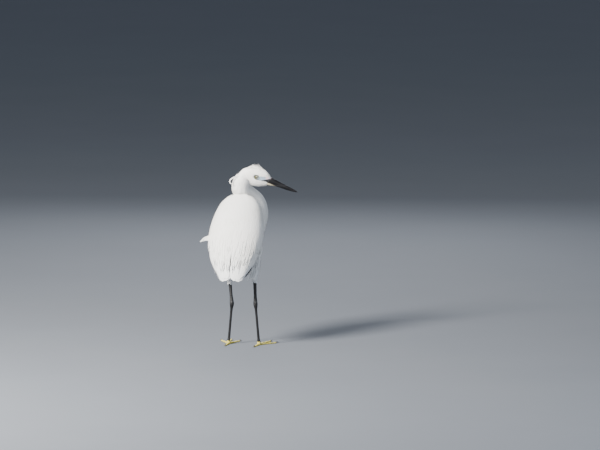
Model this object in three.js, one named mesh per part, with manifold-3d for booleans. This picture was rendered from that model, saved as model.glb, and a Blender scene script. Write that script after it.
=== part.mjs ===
// A little egret, standing at rest, life size, in millimetres.
// It faces -Y with its left side to +X, and its soles lie on the floor at z = 0.
// Its head is turned to its right, its neck is folded in an S in front of the breast,
// and its folded wings cover the back.
import * as THREE from 'three';
import { mergeVertices } from 'three/addons/utils/BufferGeometryUtils.js';
import Module from 'manifold-3d';

const wasm = await Module();
wasm.setup();

const { Vector3 } = THREE;
const v3 = (x, y, z) => new Vector3(x, y, z);
const radians = THREE.MathUtils.degToRad;
const { lerp, clamp, smoothstep } = THREE.MathUtils;

// Driving dimensions
const gap = 0.3;
const frameShift = v3(21.8, 23, 0);

const bodyPitch = radians(57);
const shoulder = v3(0, -64.5, 346);
// Stations of the plumage along the body: distance from the shoulder, half width,
// height of the widest line, height of the back, height of the belly, and how far it leans left.
const bodyStations = [
  [-33, 5, 33, 37, 29, 5],
  [-25, 28, 31, 44, 16, 6],
  [-12, 45, 22, 48.5, -6, 7.5],
  [0, 55, 14, 51, -24, 8.5],
  [30, 65, 9, 55, -42, 10],
  [70, 71, 8, 57, -52, 10.5],
  [110, 70, 9, 57, -52, 10],
  [150, 63, 13, 53, -40, 8],
  [180, 49, 20, 48, -16, 5],
  [205, 34, 25, 43, 5, 2],
  [228, 24, 27, 38, 15, 0],
];
const torsoStart = -30;
const torsoEnd = 184;
const wingDepth = 9;
const rumpDepth = 6.5;
const wingEdgeAngle = radians(114);
const bellyStartAngle = radians(121);
const bellyFullAngle = radians(136);
const wingStart = -18;
const wingThinFrom = 118;
const wingEnd = 229;
const wingTipAngle = radians(80);
const wingSeam = 1;
const mantleHalfWidth = 30;
const mantleTipWidth = 3;
const mantleStart = -28;
const mantleEnd = 122;

// Stations of the tail: place along the body, half width, underside and upper side.
const tailStations = [
  [170, 17, 4, 22],
  [184, 18, 8, 19],
  [198, 19.5, 10.5, 17],
  [208, 19.5, 12, 16],
  [213, 16, 12.6, 15.4],
  [215, 10, 13, 15],
];

// Single loose feathers are thin tapered locks.
const lockThickness = 1.6;
// A covert that stands out on the left side: places and half width, then its tip.
const looseLine = [[63, 2, 284.5, 3], [72, 6, 283.5, 4], [79, 10, 281, 4], [88, 16, 277.5, 3.4], [95, 21, 273, 2.2]];
const looseTip = [98, 25, 268.5];

// The neck's middle line from the skull down to the breast, with its half thickness.
const neckStations = [
  [-4, -66, 430, 19],
  [8, -62, 416, 22.5],
  [9, -66, 398, 24.5],
  [-3, -83, 383, 24],
  [-20, -104, 363, 23],
  [-27, -114, 335, 22.5],
  [-23, -109, 305, 23.5],
  [-14, -92, 281, 26],
  [-3, -48, 250, 14],
];
const neckCuts = [0.27, 0.55];
const neckSides = 16;
const neckAcross = v3(0.8, -0.6, 0);

// The head's own frame: its middle plane holds the bill, which points to the bird's right and down.
const eyeHeight = 432.9;
const headCentre = v3(-34.7, -67.3, eyeHeight);
const headTurn = radians(1);
const headPitch = radians(25.4);
const eyeOffset = 9.6;
const lidOpening = 4.8;
const eyeRadius = 6.2;
// Stations of the head: distance ahead of the eye, top, bottom, half width.
const headStations = [
  [-45, -8, -16, 4],
  [-40, 1, -25, 9.5],
  [-33, 12, -30, 13.5],
  [-23, 21, -31, 15.8],
  [-11, 25, -29, 16],
  [1, 25, -26.5, 15],
  [12, 22.5, -22.5, 12.6],
  [22, 18.6, -16.8, 10.2],
  [31.5, 14.4, -10.5, 8],
];
const napeLine = [[3, -56, 433], [22, -41, 432.5], [32, -36, 425], [31, -34.5, 418], [24, -34.5, 414.5]];
const napeHalfWidth = 1.7;
const billStart = 31.5;
const billLength = 81;
// Stations of the bill: share of its length, top, line of the mouth, bottom, half width.
const billStations = [
  [0, 14.6, 3.2, -8.8, 7.4],
  [0.1, 14.8, 3.8, -5.4, 6.6],
  [0.28, 14.7, 5.4, -1.1, 5.2],
  [0.46, 14.6, 7.2, 1.8, 4.3],
  [0.64, 14.5, 9, 4, 3.5],
  [0.82, 14.6, 10.8, 7.1, 2.7],
  [0.93, 14.2, 12, 9.8, 1.9],
  [0.99, 13.2, 12.4, 11.7, 0.9],
];
const nostrilAhead = 6;

const legs = [
  { side: 'left', hip: v3(22, -22, 222), knee: v3(23, 2, 168), ankle: v3(16, 8, 108.5), foot: v3(28, -4, 5.5), turn: 8 },
  { side: 'right', hip: v3(-29, -23, 225), knee: v3(-43, -1, 172), ankle: v3(-47, 7, 109), foot: v3(-53, -5, 5.5), turn: -14 },
];
const tibiaRadius = 4.2;
const tarsusRadius = 3.1;
const ankleRadius = 5.6;
const soleHeight = 0.9;
// Toes: name, angle from straight ahead (outward positive), length, half thickness.
const toes = [
  ['inner', -27, 52, 2.9],
  ['middle', 0, 63, 3.2],
  ['outer', 26, 54, 2.9],
  ['hind', 172, 33, 2.8],
];
const clawLength = 9.5;

// Colours of the living bird
const finishes = {
  plumage: { color: 0xf4f3ee, roughness: 0.85, metalness: 0 },
  bill: { color: 0x17181a, roughness: 0.4, metalness: 0 },
  eye: { color: 0xd8cf8a, roughness: 0.1, metalness: 0 },
  leg: { color: 0x141414, roughness: 0.55, metalness: 0 },
  foot: { color: 0xb5a52b, roughness: 0.6, metalness: 0 },
  claw: { color: 0x1b1916, roughness: 0.4, metalness: 0 },
};

// Solids: a closed mesh becomes a solid, and solids are joined and cut.
function solidFrom(geometry) {
  const bare = geometry.clone();
  bare.deleteAttribute('normal');
  bare.deleteAttribute('uv');
  const merged = mergeVertices(bare, 1e-4);
  return new wasm.Manifold(new wasm.Mesh({
    numProp: 3,
    vertProperties: new Float32Array(merged.attributes.position.array),
    triVerts: new Uint32Array(merged.index.array),
  }));
}

function solidFromFaces(points, faces) {
  const solid = new wasm.Manifold(new wasm.Mesh({
    numProp: 3,
    vertProperties: new Float32Array(points.flatMap((point) => point.toArray())),
    triVerts: new Uint32Array(faces.flat()),
  }));
  return solid.volume() > 0 ? solid : flipped(points, faces);
}

function flipped(points, faces) {
  return new wasm.Manifold(new wasm.Mesh({
    numProp: 3,
    vertProperties: new Float32Array(points.flatMap((point) => point.toArray())),
    triVerts: new Uint32Array(faces.flatMap(([a, b, c]) => [a, c, b])),
  }));
}

function geometryFrom(solid) {
  const mesh = solid.getMesh();
  const geometry = new THREE.BufferGeometry();
  geometry.setAttribute('position', new THREE.BufferAttribute(new Float32Array(mesh.vertProperties), 3));
  geometry.setIndex(new THREE.BufferAttribute(new Uint32Array(mesh.triVerts), 1));
  geometry.computeVertexNormals();
  return geometry;
}

function largest(solid) {
  return solid.decompose().sort((a, b) => b.volume() - a.volume())[0];
}

function joined(solids) {
  return largest(wasm.Manifold.union(solids));
}

function cutBy(solid, cutters) {
  return largest(cutters.reduce((left, cutter) => left.subtract(cutter), solid));
}

// A solid with copies of itself moved a little each way, to cut what lies against it.
function spread(solid, ways) {
  const copies = ways.map((way) => solid.translate(way.clone().setLength(1.2 * gap).toArray()));
  return wasm.Manifold.union([solid, ...copies]);
}

// A closed body through rings of equal count, with a pole at each end.
function loft(rings, startPole, endPole) {
  const count = rings[0].length;
  const points = [...rings.flat(), startPole, endPole];
  const start = points.length - 2;
  const faces = [];
  for (let i = 0; i < count; i += 1) {
    const next = (i + 1) % count;
    const last = (rings.length - 1) * count;
    faces.push([start, next, i]);
    faces.push([last + i, last + next, start + 1]);
    for (let ring = 0; ring + 1 < rings.length; ring += 1) {
      const a = ring * count + i;
      const b = ring * count + next;
      faces.push([a, b, b + count], [a, b + count, a + count]);
    }
  }
  return solidFromFaces(points, faces);
}

function middleOf(ring) {
  return ring.reduce((sum, point) => sum.add(point), v3(0, 0, 0)).divideScalar(ring.length);
}

// A smooth value through the rows of a table whose first column is the place.
function smoothAt(table, place, column) {
  const last = table.length - 1;
  const row = table.findIndex((entry) => entry[0] > place);
  const right = clamp(row < 0 ? last : row, 1, last);
  const left = right - 1;
  const slope = (index) => {
    const before = table[Math.max(index - 1, 0)];
    const after = table[Math.min(index + 1, last)];
    return (after[column] - before[column]) / (after[0] - before[0]);
  };
  const span = table[right][0] - table[left][0];
  const t = clamp((place - table[left][0]) / span, 0, 1);
  const ease = t * t * (3 - 2 * t);
  const rise = t * (1 - t) * (1 - t) * span * slope(left);
  const fall = t * t * (t - 1) * span * slope(right);
  return lerp(table[left][column], table[right][column], ease) + rise + fall;
}

// Places on the plumage of the body: along the body, round it from the back, and out from its surface.
const tailward = v3(0, Math.cos(bodyPitch), -Math.sin(bodyPitch));
const backward = v3(0, Math.sin(bodyPitch), Math.cos(bodyPitch));

function axisPoint(along, height) {
  return shoulder.clone().addScaledVector(tailward, along).addScaledVector(backward, height);
}

function onBody(along, angle, lift) {
  const [halfWidth, widest, top, low, aside] = [1, 2, 3, 4, 5].map((column) => smoothAt(bodyStations, along, column));
  const rise = Math.cos(angle) > 0 ? top - widest + lift : widest - low + lift;
  const point = axisPoint(along, widest + rise * Math.cos(angle));
  point.x += aside + (halfWidth + lift) * Math.sin(angle);
  return point;
}

function torsoInset(along, angle) {
  const turn = Math.abs(angle);
  const underWing = lerp(wingDepth, rumpDepth, smoothstep(along, wingThinFrom, wingThinFrom + 35));
  return underWing * (1 - smoothstep(turn, bellyStartAngle, bellyFullAngle));
}

function torsoSolid(grow) {
  const rings = [];
  const stations = 15;
  const sides = 22;
  for (let i = 0; i < stations; i += 1) {
    const along = lerp(torsoStart, torsoEnd, i / (stations - 1));
    const ring = [];
    for (let j = 0; j < sides; j += 1) {
      const angle = (j / sides) * 2 * Math.PI - Math.PI;
      const inset = Math.min(torsoInset(along, angle), 0.4 * smoothAt(bodyStations, along, 1));
      ring.push(onBody(along, angle, grow - inset));
    }
    rings.push(ring);
  }
  const start = middleOf(rings[0]).addScaledVector(tailward, -4 - grow);
  const end = middleOf(rings[stations - 1]).addScaledVector(tailward, 6 + grow);
  return loft(rings, start, end);
}

// A slab of plumage over part of the body: outer face, inner face and the rim between them.
// The rear end follows endTrim, the length taken off it from the inner to the outer edge.
function slab(stations, angleRange, outerLift, innerLift, columns, endTrim = () => 0) {
  const rows = stations.length - 1;
  const points = [];
  const faces = [];
  const index = (face, row, column) => (face * (rows + 1) + row) * (columns + 1) + column;
  for (const face of [0, 1]) {
    for (let row = 0; row <= rows; row += 1) {
      const [from, to] = angleRange(stations[row]);
      for (let column = 0; column <= columns; column += 1) {
        const across = column / columns;
        const along = stations[row] - endTrim(across) * (row / rows) ** 5;
        const lift = face === 0 ? outerLift(along, across) : innerLift(along);
        points.push(onBody(along, lerp(from, to, across), lift));
      }
    }
  }
  const quad = (a, b, c, d) => faces.push([a, b, c], [a, c, d]);
  for (let row = 0; row < rows; row += 1) {
    for (let column = 0; column < columns; column += 1) {
      quad(index(0, row, column), index(0, row + 1, column), index(0, row + 1, column + 1), index(0, row, column + 1));
      quad(index(1, row, column), index(1, row, column + 1), index(1, row + 1, column + 1), index(1, row + 1, column));
    }
    for (const [column, flip] of [[0, true], [columns, false]]) {
      const corners = [index(0, row, column), index(0, row + 1, column), index(1, row + 1, column), index(1, row, column)];
      quad(...(flip ? corners.reverse() : corners));
    }
  }
  for (let column = 0; column < columns; column += 1) {
    for (const [row, flip] of [[0, false], [rows, true]]) {
      const corners = [index(0, row, column), index(0, row, column + 1), index(1, row, column + 1), index(1, row, column)];
      quad(...(flip ? corners.reverse() : corners));
    }
  }
  return solidFromFaces(points, faces);
}

function evenly(from, to, steps) {
  return Array.from({ length: steps + 1 }, (_, i) => lerp(from, to, i / steps));
}

function angleOf(width, along) {
  return Math.asin(Math.min(0.95, width / smoothAt(bodyStations, along, 1)));
}

function mantleWidth(along) {
  const reach = clamp((along - wingStart) / (mantleEnd - wingStart), 0, 1);
  return mantleTipWidth + (mantleHalfWidth - mantleTipWidth) * Math.sqrt(1 - reach * reach);
}

function mantleSolid(torsoGrown) {
  const edge = (along) => {
    const angle = angleOf(mantleWidth(along), along);
    return [-angle, angle];
  };
  const rounded = (along, across) => -1.5 * Math.abs(2 * across - 1) ** 4;
  const cloak = slab(evenly(mantleStart, mantleEnd, 14), edge, rounded, () => -wingDepth - 3, 8);
  return cutBy(cloak, [torsoGrown]);
}

// A thin blade with a lens section through rows of left edge, middle and right edge.
function lock(rows, tip, outwards) {
  const rings = rows.map(([left, middle, right], index) => {
    const half = outwards[index].clone().multiplyScalar(lockThickness / 2);
    return [left, middle.clone().add(half), right, middle.clone().sub(half)];
  });
  return loft(rings, middleOf(rings[0]), tip);
}

// A folded wing: smooth plumage from the wrist to the rounded tip beside its fellow.
function wingSolid(side, torsoGrown, mantleSpread) {
  const rear = (along) => smoothstep(along, wingThinFrom, wingEnd);
  const edge = (along) => {
    const width = along < mantleEnd ? mantleWidth(along) - 2 : wingSeam;
    return [side * angleOf(Math.max(width, wingSeam), along), side * lerp(wingEdgeAngle, wingTipAngle, rear(along))];
  };
  const rounded = (along, across) => {
    const front = smoothstep(along, wingStart, wingStart + 20);
    return -5 * smoothstep(across, 0.8, 1) * (1 - rear(along)) - 5 * (1 - front) - rear(along);
  };
  const inner = (along) => lerp(-wingDepth - 3, -5.5, rear(along));
  const trim = (across) => 7 * (1 - across / 0.35) ** 2 * (across < 0.35) + 34 * Math.max(0, (across - 0.35) / 0.65) ** 2;
  const blade = slab(evenly(wingStart, wingEnd, 20), edge, rounded, inner, 8, trim);
  const loose = side > 0 ? [looseCovert()] : [];
  return cutBy(joined([blade, ...loose]), [torsoGrown, mantleSpread]);
}

// One covert on the left side stands out and hangs down at its tip.
function looseCovert() {
  const outward = v3(0.94, 0.2, 0.28).normalize();
  const rows = looseLine.map(([x, y, z, width]) => {
    const middle = v3(x, y, z);
    return [middle.clone().add(v3(0, -0.5 * width, width)), middle, middle.clone().add(v3(0, 0.5 * width, -width))];
  });
  return lock(rows, v3(...looseTip), rows.map(() => outward));
}

function tailSolid(cutters) {
  const rings = tailStations.map(([along, halfWidth, low, high]) => evenly(0, 2 * Math.PI, 12).slice(1).map((angle) => {
    const point = axisPoint(along, lerp(low, high, 0.5 + 0.5 * Math.sin(angle)));
    point.x += smoothAt(bodyStations, along, 5) + halfWidth * Math.cos(angle);
    return point;
  }));
  return cutBy(loft(rings, middleOf(rings[0]), middleOf(rings[rings.length - 1])), cutters);
}

// The neck: round sections along its bent middle line.
const neckLine = new THREE.CatmullRomCurve3(neckStations.map(([x, y, z]) => v3(x, y, z)), false, 'centripetal');

function neckRing(t) {
  const tangent = neckLine.getTangent(t);
  const up = tangent.clone().cross(neckAcross).normalize();
  const across = up.clone().cross(tangent).normalize();
  const thickness = neckStations.map((row, index) => [index, row[3]]);
  const radius = smoothAt(thickness, t * (neckStations.length - 1), 1);
  return evenly(0, 2 * Math.PI, neckSides).slice(1).map((angle) => neckLine.getPoint(t)
    .addScaledVector(across, radius * Math.cos(angle))
    .addScaledVector(up, radius * Math.sin(angle)));
}

function neckSolid(from, to) {
  const rings = evenly(from, to, Math.round((to - from) * 26)).map(neckRing);
  if (from > 0) {
    const step = neckLine.getTangent(from).multiplyScalar(gap);
    rings[0] = rings[0].map((point) => point.add(step));
  }
  return loft(rings, middleOf(rings[0]), middleOf(rings[rings.length - 1]));
}

// The head's frame: ahead along the bill, up, and out to the right side.
const headAhead = v3(-Math.cos(headPitch) * Math.cos(headTurn), Math.cos(headPitch) * Math.sin(headTurn), -Math.sin(headPitch));
const headOut = v3(Math.sin(headTurn), Math.cos(headTurn), 0);
const headUp = headOut.clone().cross(headAhead).normalize();

function inHead(ahead, up, out) {
  return headCentre.clone()
    .addScaledVector(headAhead, ahead)
    .addScaledVector(headUp, up)
    .addScaledVector(headOut, out);
}

function headSolid(grow) {
  const sides = 18;
  const steps = 12;
  const rings = [];
  for (let i = 0; i <= steps; i += 1) {
    const ahead = lerp(headStations[0][0], billStart, i / steps);
    const [top, bottom, halfWidth] = [1, 2, 3].map((column) => smoothAt(headStations, ahead, column));
    const ring = [];
    for (let j = 0; j < sides; j += 1) {
      const angle = (j / sides) * 2 * Math.PI;
      const middle = (top + bottom) / 2;
      const halfHeight = (top - bottom) / 2 + grow;
      ring.push(inHead(ahead, middle + halfHeight * Math.sin(angle), (halfWidth + grow) * Math.cos(angle)));
    }
    rings.push(ring);
  }
  const back = inHead(headStations[0][0] - 2 - grow, -12, 0);
  return loft(rings, back, middleOf(rings[steps]));
}

// A fine plume at the nape that curls out and back.
function napePlume() {
  const line = new THREE.CatmullRomCurve3(napeLine.map((point) => v3(...point)));
  const rows = evenly(0, 0.88, 7).map((share) => {
    const middle = line.getPoint(share);
    const side = line.getTangent(share).cross(headOut).setLength(napeHalfWidth * (1 - 0.4 * share));
    return [middle.clone().sub(side), middle, middle.clone().add(side)];
  });
  return lock(rows, line.getPoint(1), rows.map(() => headOut));
}

function ballInHead(ahead, up, out, radius, stretch = [1, 1, 1], around = 14, high = 10) {
  const ball = new THREE.SphereGeometry(radius, around, high);
  ball.scale(...stretch);
  const basis = new THREE.Matrix4().makeBasis(headAhead, headUp, headOut);
  ball.applyMatrix4(basis);
  ball.translate(...inHead(ahead, up, out).toArray());
  return solidFrom(ball);
}

function lidRing(side) {
  const ring = new THREE.TorusGeometry(eyeRadius - 0.6, 1.4, 6, 16);
  ring.applyMatrix4(new THREE.Matrix4().makeBasis(headAhead, headUp, headOut));
  ring.translate(...inHead(0, 0, side * (eyeOffset + 4.4)).toArray());
  return solidFrom(ring);
}

function mouthCut() {
  const line = new THREE.BoxGeometry(17, 0.5, 40);
  line.rotateZ(radians(14));
  line.applyMatrix4(new THREE.Matrix4().makeBasis(headAhead, headUp, headOut));
  line.translate(...inHead(billStart - 7, 1.3, 0).toArray());
  return solidFrom(line);
}

function headWithFace() {
  const lids = [1, -1].map(lidRing);
  const sockets = [1, -1].map((side) => ballInHead(0, 0, side * eyeOffset, eyeRadius + gap));
  const openings = [1, -1].map((side) => ballInHead(0, 0, side * (eyeOffset + 5.6), lidOpening));
  return cutBy(joined([headSolid(0), ...lids]), [...sockets, ...openings, mouthCut()]);
}

// The bill: each half is a stack of half round sections that meet on the line of the mouth.
function billHalf(upper) {
  const steps = 12;
  const arcPoints = 8;
  const rings = [];
  for (let i = 0; i <= steps; i += 1) {
    const share = i / steps * 0.99;
    const [top, mouth, bottom, halfWidth] = [1, 2, 3, 4].map((column) => smoothAt(billStations, share, column));
    const ahead = billStart + gap + share * billLength;
    const edge = upper ? mouth + gap / 2 : mouth - gap / 2;
    const height = upper ? top - edge : edge - bottom;
    const ring = [];
    for (let j = 0; j <= arcPoints; j += 1) {
      const angle = (j / arcPoints) * Math.PI;
      const reach = Math.max(0.15, height) * Math.sin(angle) ** 0.85;
      const out = halfWidth * Math.cos(angle) * (upper ? 1 : 0.92);
      ring.push(inHead(ahead, edge + (upper ? reach : -reach), out));
    }
    rings.push(ring);
  }
  const tip = inHead(billStart + billLength, upper ? 12.9 : 12.2, 0);
  const solid = loft(rings, middleOf(rings[0]), tip);
  if (!upper) {
    return solid;
  }
  const nostrils = [1, -1].map((side) => ballInHead(billStart + nostrilAhead, 10.4, side * 6.3, 1, [3.2, 0.8, 1.2], 10, 6));
  return cutBy(solid, nostrils);
}

// Legs: a tapered round limb through points with their half thickness.
function limb(stations, sides) {
  const rings = stations.map(([middle, radius], index) => {
    const before = stations[Math.max(index - 1, 0)][0];
    const after = stations[Math.min(index + 1, stations.length - 1)][0];
    const tangent = after.clone().sub(before).normalize();
    const across = tangent.clone().cross(v3(0.2, 1, 0.1)).normalize();
    const side = across.clone().cross(tangent).normalize();
    return Array.from({ length: sides }, (_, j) => {
      const angle = (j / sides) * 2 * Math.PI;
      return middle.clone()
        .addScaledVector(across, radius * Math.cos(angle))
        .addScaledVector(side, radius * Math.sin(angle));
    });
  });
  return loft(rings, middleOf(rings[0]), middleOf(rings[rings.length - 1]));
}

function between(from, to, share) {
  return from.clone().lerp(to, share);
}

function thighSolid(leg, cutters) {
  const plain = limb([
    [between(leg.hip, leg.knee, -0.5), 10],
    [between(leg.hip, leg.knee, -0.32), 18],
    [between(leg.hip, leg.knee, -0.1), 22.5],
    [between(leg.hip, leg.knee, 0.2), 22.5],
    [between(leg.hip, leg.knee, 0.5), 18],
    [between(leg.hip, leg.knee, 0.8), 11.5],
    [between(leg.hip, leg.knee, 1.02), 7],
  ], 16);
  return cutBy(plain, cutters);
}

function tibiaSolid(leg, thigh) {
  const start = between(leg.knee, leg.ankle, -0.02);
  const end = between(leg.knee, leg.ankle, 0.89);
  const plain = limb([
    [start, tibiaRadius * 1.1],
    [between(start, end, 0.3), tibiaRadius],
    [between(start, end, 0.75), tibiaRadius * 0.95],
    [end, ankleRadius * 0.9],
  ], 12);
  return cutBy(plain, [spread(thigh, [leg.ankle.clone().sub(leg.knee)])]);
}

function tarsusSolid(leg) {
  return limb([
    [between(leg.knee, leg.ankle, 0.9), ankleRadius * 0.92],
    [leg.ankle, ankleRadius],
    [between(leg.ankle, leg.foot, 0.06), ankleRadius * 0.85],
    [between(leg.ankle, leg.foot, 0.14), tarsusRadius * 1.1],
    [between(leg.ankle, leg.foot, 0.5), tarsusRadius],
    [between(leg.ankle, leg.foot, 0.88), tarsusRadius * 1.1],
    [between(leg.ankle, leg.foot, 0.955), tarsusRadius * 1.35],
  ], 12);
}

function footFrame(leg, toeAngle) {
  const outward = leg.side === 'left' ? 1 : -1;
  const angle = radians(leg.turn) + outward * radians(toeAngle);
  return v3(Math.sin(angle), -Math.cos(angle), 0);
}

function toeSolid(leg, [, toeAngle, length, radius]) {
  const direction = footFrame(leg, toeAngle);
  const joints = 3;
  const stations = [[v3(leg.foot.x, leg.foot.y, radius - soleHeight / 2), radius]];
  for (let i = 1; i <= joints * 2; i += 1) {
    const share = i / (joints * 2);
    const thick = radius * lerp(1, 0.72, share) * (i % 2 ? 0.86 : 1.06);
    const middle = v3(leg.foot.x, leg.foot.y, thick - soleHeight / 2).addScaledVector(direction, length * share);
    stations.push([middle, thick]);
  }
  return limb(stations, 8);
}

function footSolid(leg) {
  const palm = limb([
    [v3(leg.foot.x, leg.foot.y, 9.2), 3.9],
    [v3(leg.foot.x, leg.foot.y, 6), 4.9],
    [v3(leg.foot.x, leg.foot.y - 1, 2.6), 5.2],
    [v3(leg.foot.x, leg.foot.y - 1, -1.5), 4.5],
  ], 12);
  const underfoot = new THREE.BoxGeometry(400, 400, 20);
  underfoot.translate(leg.foot.x, leg.foot.y, -10);
  const sole = solidFrom(underfoot);
  return cutBy(joined([palm, ...toes.map((toe) => toeSolid(leg, toe))]), [sole]);
}

function clawSolid(leg, [, toeAngle, length, radius]) {
  const direction = footFrame(leg, toeAngle);
  const start = v3(leg.foot.x, leg.foot.y, 0).addScaledVector(direction, length + gap);
  const thick = radius * 0.62;
  const height = [2.6, 3.1, 2.9, 2.2, 1.4];
  const stations = height.map((z, index) => {
    const share = index / (height.length - 1);
    const middle = start.clone().addScaledVector(direction, clawLength * share);
    middle.z = z;
    return [middle, thick * (1 - 0.75 * share)];
  });
  return limb(stations, 8);
}

// The scene graph
const egret = new THREE.Group();

function addPiece(name, solid, finish) {
  const mesh = new THREE.Mesh(geometryFrom(solid), new THREE.MeshStandardMaterial(finishes[finish]));
  mesh.name = name;
  mesh.position.copy(frameShift);
  egret.add(mesh);
}

const torso = torsoSolid(0);
const torsoGrown = torsoSolid(gap);
const aside = v3(1, 0, 0);
const headward = tailward.clone().negate();
const mantle = mantleSolid(torsoGrown);
const mantleSpread = spread(mantle, [aside, aside.clone().negate(), tailward]);
const wings = { left: wingSolid(1, torsoGrown, mantleSpread), right: wingSolid(-1, torsoGrown, mantleSpread) };
const thighs = legs.map((leg) => thighSolid(leg, [torsoGrown]));
const nearNeck = [torsoGrown, mantle, ...Object.values(wings)].map((solid) => spread(solid, [headward, v3(0, -1, 0)]));
const headGrown = headSolid(gap);
const neckEnds = [0, ...neckCuts, 1];
const neckNames = ['neck_upper', 'neck_middle', 'neck_lower'];

addPiece('torso', torso, 'plumage');
addPiece('mantle', mantle, 'plumage');
addPiece('wing_left', wings.left, 'plumage');
addPiece('wing_right', wings.right, 'plumage');
neckNames.forEach((name, index) => {
  const plumes = index === 0 ? [napePlume()] : [];
  const length = joined([neckSolid(neckEnds[index], neckEnds[index + 1]), ...plumes]);
  addPiece(name, cutBy(length, [headGrown, ...nearNeck]), 'plumage');
});
addPiece('tail', tailSolid([torsoGrown]), 'plumage');
addPiece('head', headWithFace(), 'plumage');
addPiece('eye_right', ballInHead(0, 0, eyeOffset, eyeRadius), 'eye');
addPiece('eye_left', ballInHead(0, 0, -eyeOffset, eyeRadius), 'eye');
addPiece('bill_upper', billHalf(true), 'bill');
addPiece('bill_lower', billHalf(false), 'bill');
legs.forEach((leg, index) => {
  const thigh = thighs[index];
  addPiece(`thigh_${leg.side}`, thigh, 'plumage');
  addPiece(`tibia_${leg.side}`, tibiaSolid(leg, thigh), 'leg');
  addPiece(`tarsus_${leg.side}`, tarsusSolid(leg), 'leg');
  addPiece(`foot_${leg.side}`, footSolid(leg), 'foot');
  for (const toe of toes) {
    addPiece(`claw_${leg.side}_${toe[0]}`, clawSolid(leg, toe), 'claw');
  }
});

export default egret;
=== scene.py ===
import math

import bpy
import numpy as np
from mathutils import Matrix, Vector
from mathutils.bvhtree import BVHTree


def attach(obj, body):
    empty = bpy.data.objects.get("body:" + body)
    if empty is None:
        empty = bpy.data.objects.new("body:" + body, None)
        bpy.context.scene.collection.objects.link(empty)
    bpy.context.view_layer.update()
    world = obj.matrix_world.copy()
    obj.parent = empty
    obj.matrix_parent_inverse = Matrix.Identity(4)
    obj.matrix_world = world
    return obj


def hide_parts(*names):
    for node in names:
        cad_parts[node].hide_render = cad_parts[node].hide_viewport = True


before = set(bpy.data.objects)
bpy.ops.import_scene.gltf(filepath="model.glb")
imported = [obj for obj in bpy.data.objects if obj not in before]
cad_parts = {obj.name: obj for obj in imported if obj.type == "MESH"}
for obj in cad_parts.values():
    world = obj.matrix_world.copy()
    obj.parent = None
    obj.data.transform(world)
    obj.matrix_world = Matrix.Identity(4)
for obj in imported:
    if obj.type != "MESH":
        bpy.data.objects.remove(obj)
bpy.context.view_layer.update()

# A little egret at life size. Sizes are in millimetres in the bird's own frame, as it was
# measured: it faces -Y, its left is +X, and place() moves them to metres in the part's frame.
MM = 0.001
SHIFT = np.array([21.8, 23.0, 0.0])
RANDOM = np.random.default_rng(11)

BODY_PITCH = math.radians(57)
SHOULDER = np.array([0.0, -64.5, 346.0])
TAILWARD = np.array([0.0, math.cos(BODY_PITCH), -math.sin(BODY_PITCH)])
BACKWARD = np.array([0.0, math.sin(BODY_PITCH), math.cos(BODY_PITCH)])
# Along the body from the shoulder: half width, height of the widest line, of the back and of the
# belly, and how far it leans left.
BODY = np.array([
    [-33, 5, 33, 37, 29, 5],
    [-25, 28, 31, 44, 16, 6],
    [-12, 45, 22, 48.5, -6, 7.5],
    [0, 55, 14, 51, -24, 8.5],
    [30, 65, 9, 55, -42, 10],
    [70, 71, 8, 57, -52, 10.5],
    [110, 70, 9, 57, -52, 10],
    [150, 63, 13, 53, -40, 8],
    [180, 50, 20, 48, -16, 5],
    [205, 38, 25, 43, 5, 2],
    [228, 31, 27, 38, 15, 0],
    [245, 26, 27, 35, 18, -0.5],
], float)
TORSO_START, TORSO_END = -29.0, 188.0

# The neck's middle line from the skull to the breast, with its half thickness.
NECK = np.array([
    [0, -66, 433, 21],
    [8, -62, 416, 23],
    [9, -66, 398, 24.5],
    [-3, -83, 383, 24],
    [-20, -104, 363, 23],
    [-27, -114, 335, 22.5],
    [-23, -109, 305, 23.5],
    [-14, -92, 281, 26],
    [-3, -48, 250, 14],
], float)
NECK_ACROSS = np.array([0.8, -0.6, 0.0])

# The head lies in the plane of the bill, which points to the bird's right and down.
HEAD_CENTRE = np.array([-34.7, -67.3, 432.9])
HEAD_TURN = math.radians(1)
HEAD_PITCH = math.radians(25.4)
HEAD_AHEAD = np.array([
    -math.cos(HEAD_PITCH) * math.cos(HEAD_TURN),
    math.cos(HEAD_PITCH) * math.sin(HEAD_TURN),
    -math.sin(HEAD_PITCH),
])
HEAD_OUT = np.array([math.sin(HEAD_TURN), math.cos(HEAD_TURN), 0.0])
HEAD_UP = np.cross(HEAD_OUT, HEAD_AHEAD)
# Ahead of the eye: top, bottom, half width.
HEAD = np.array([
    [-45, -8, -16, 4],
    [-40, 1, -25, 9.5],
    [-33, 12, -30, 13.5],
    [-23, 21, -31, 15.8],
    [-11, 24.4, -29, 16],
    [1, 24.6, -26.5, 15],
    [12, 23.6, -22.5, 12.6],
    [22, 20.6, -16.8, 10.2],
    [31.5, 15.2, -10.5, 8],
], float)
EYE_OFFSET, EYE_RADIUS = 9.6, 6.2
BILL_START, BILL_LENGTH = 31.5, 81.0
# Share of the bill's length: top, line of the mouth, bottom, half width.
BILL = np.array([
    [0, 14.6, 3.2, -8.8, 7.4],
    [0.1, 14.8, 3.8, -5.4, 6.6],
    [0.28, 14.7, 5.4, -1.1, 5.2],
    [0.46, 14.6, 7.2, 1.8, 4.3],
    [0.64, 14.5, 9, 4, 3.5],
    [0.82, 14.6, 10.8, 7.1, 2.7],
    [0.93, 14.2, 12, 9.8, 1.9],
    [0.99, 13.2, 12.4, 11.7, 0.9],
], float)

LEGS = {
    "left": {"hip": (22, -22, 222), "knee": (23, 2, 168), "ankle": (16, 8, 108.5),
             "foot": (28, -4, 5.5), "turn": 8},
    "right": {"hip": (-29, -23, 225), "knee": (-43, -1, 172), "ankle": (-47, 7, 109),
              "foot": (-53, -5, 5.5), "turn": -14},
}
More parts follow.
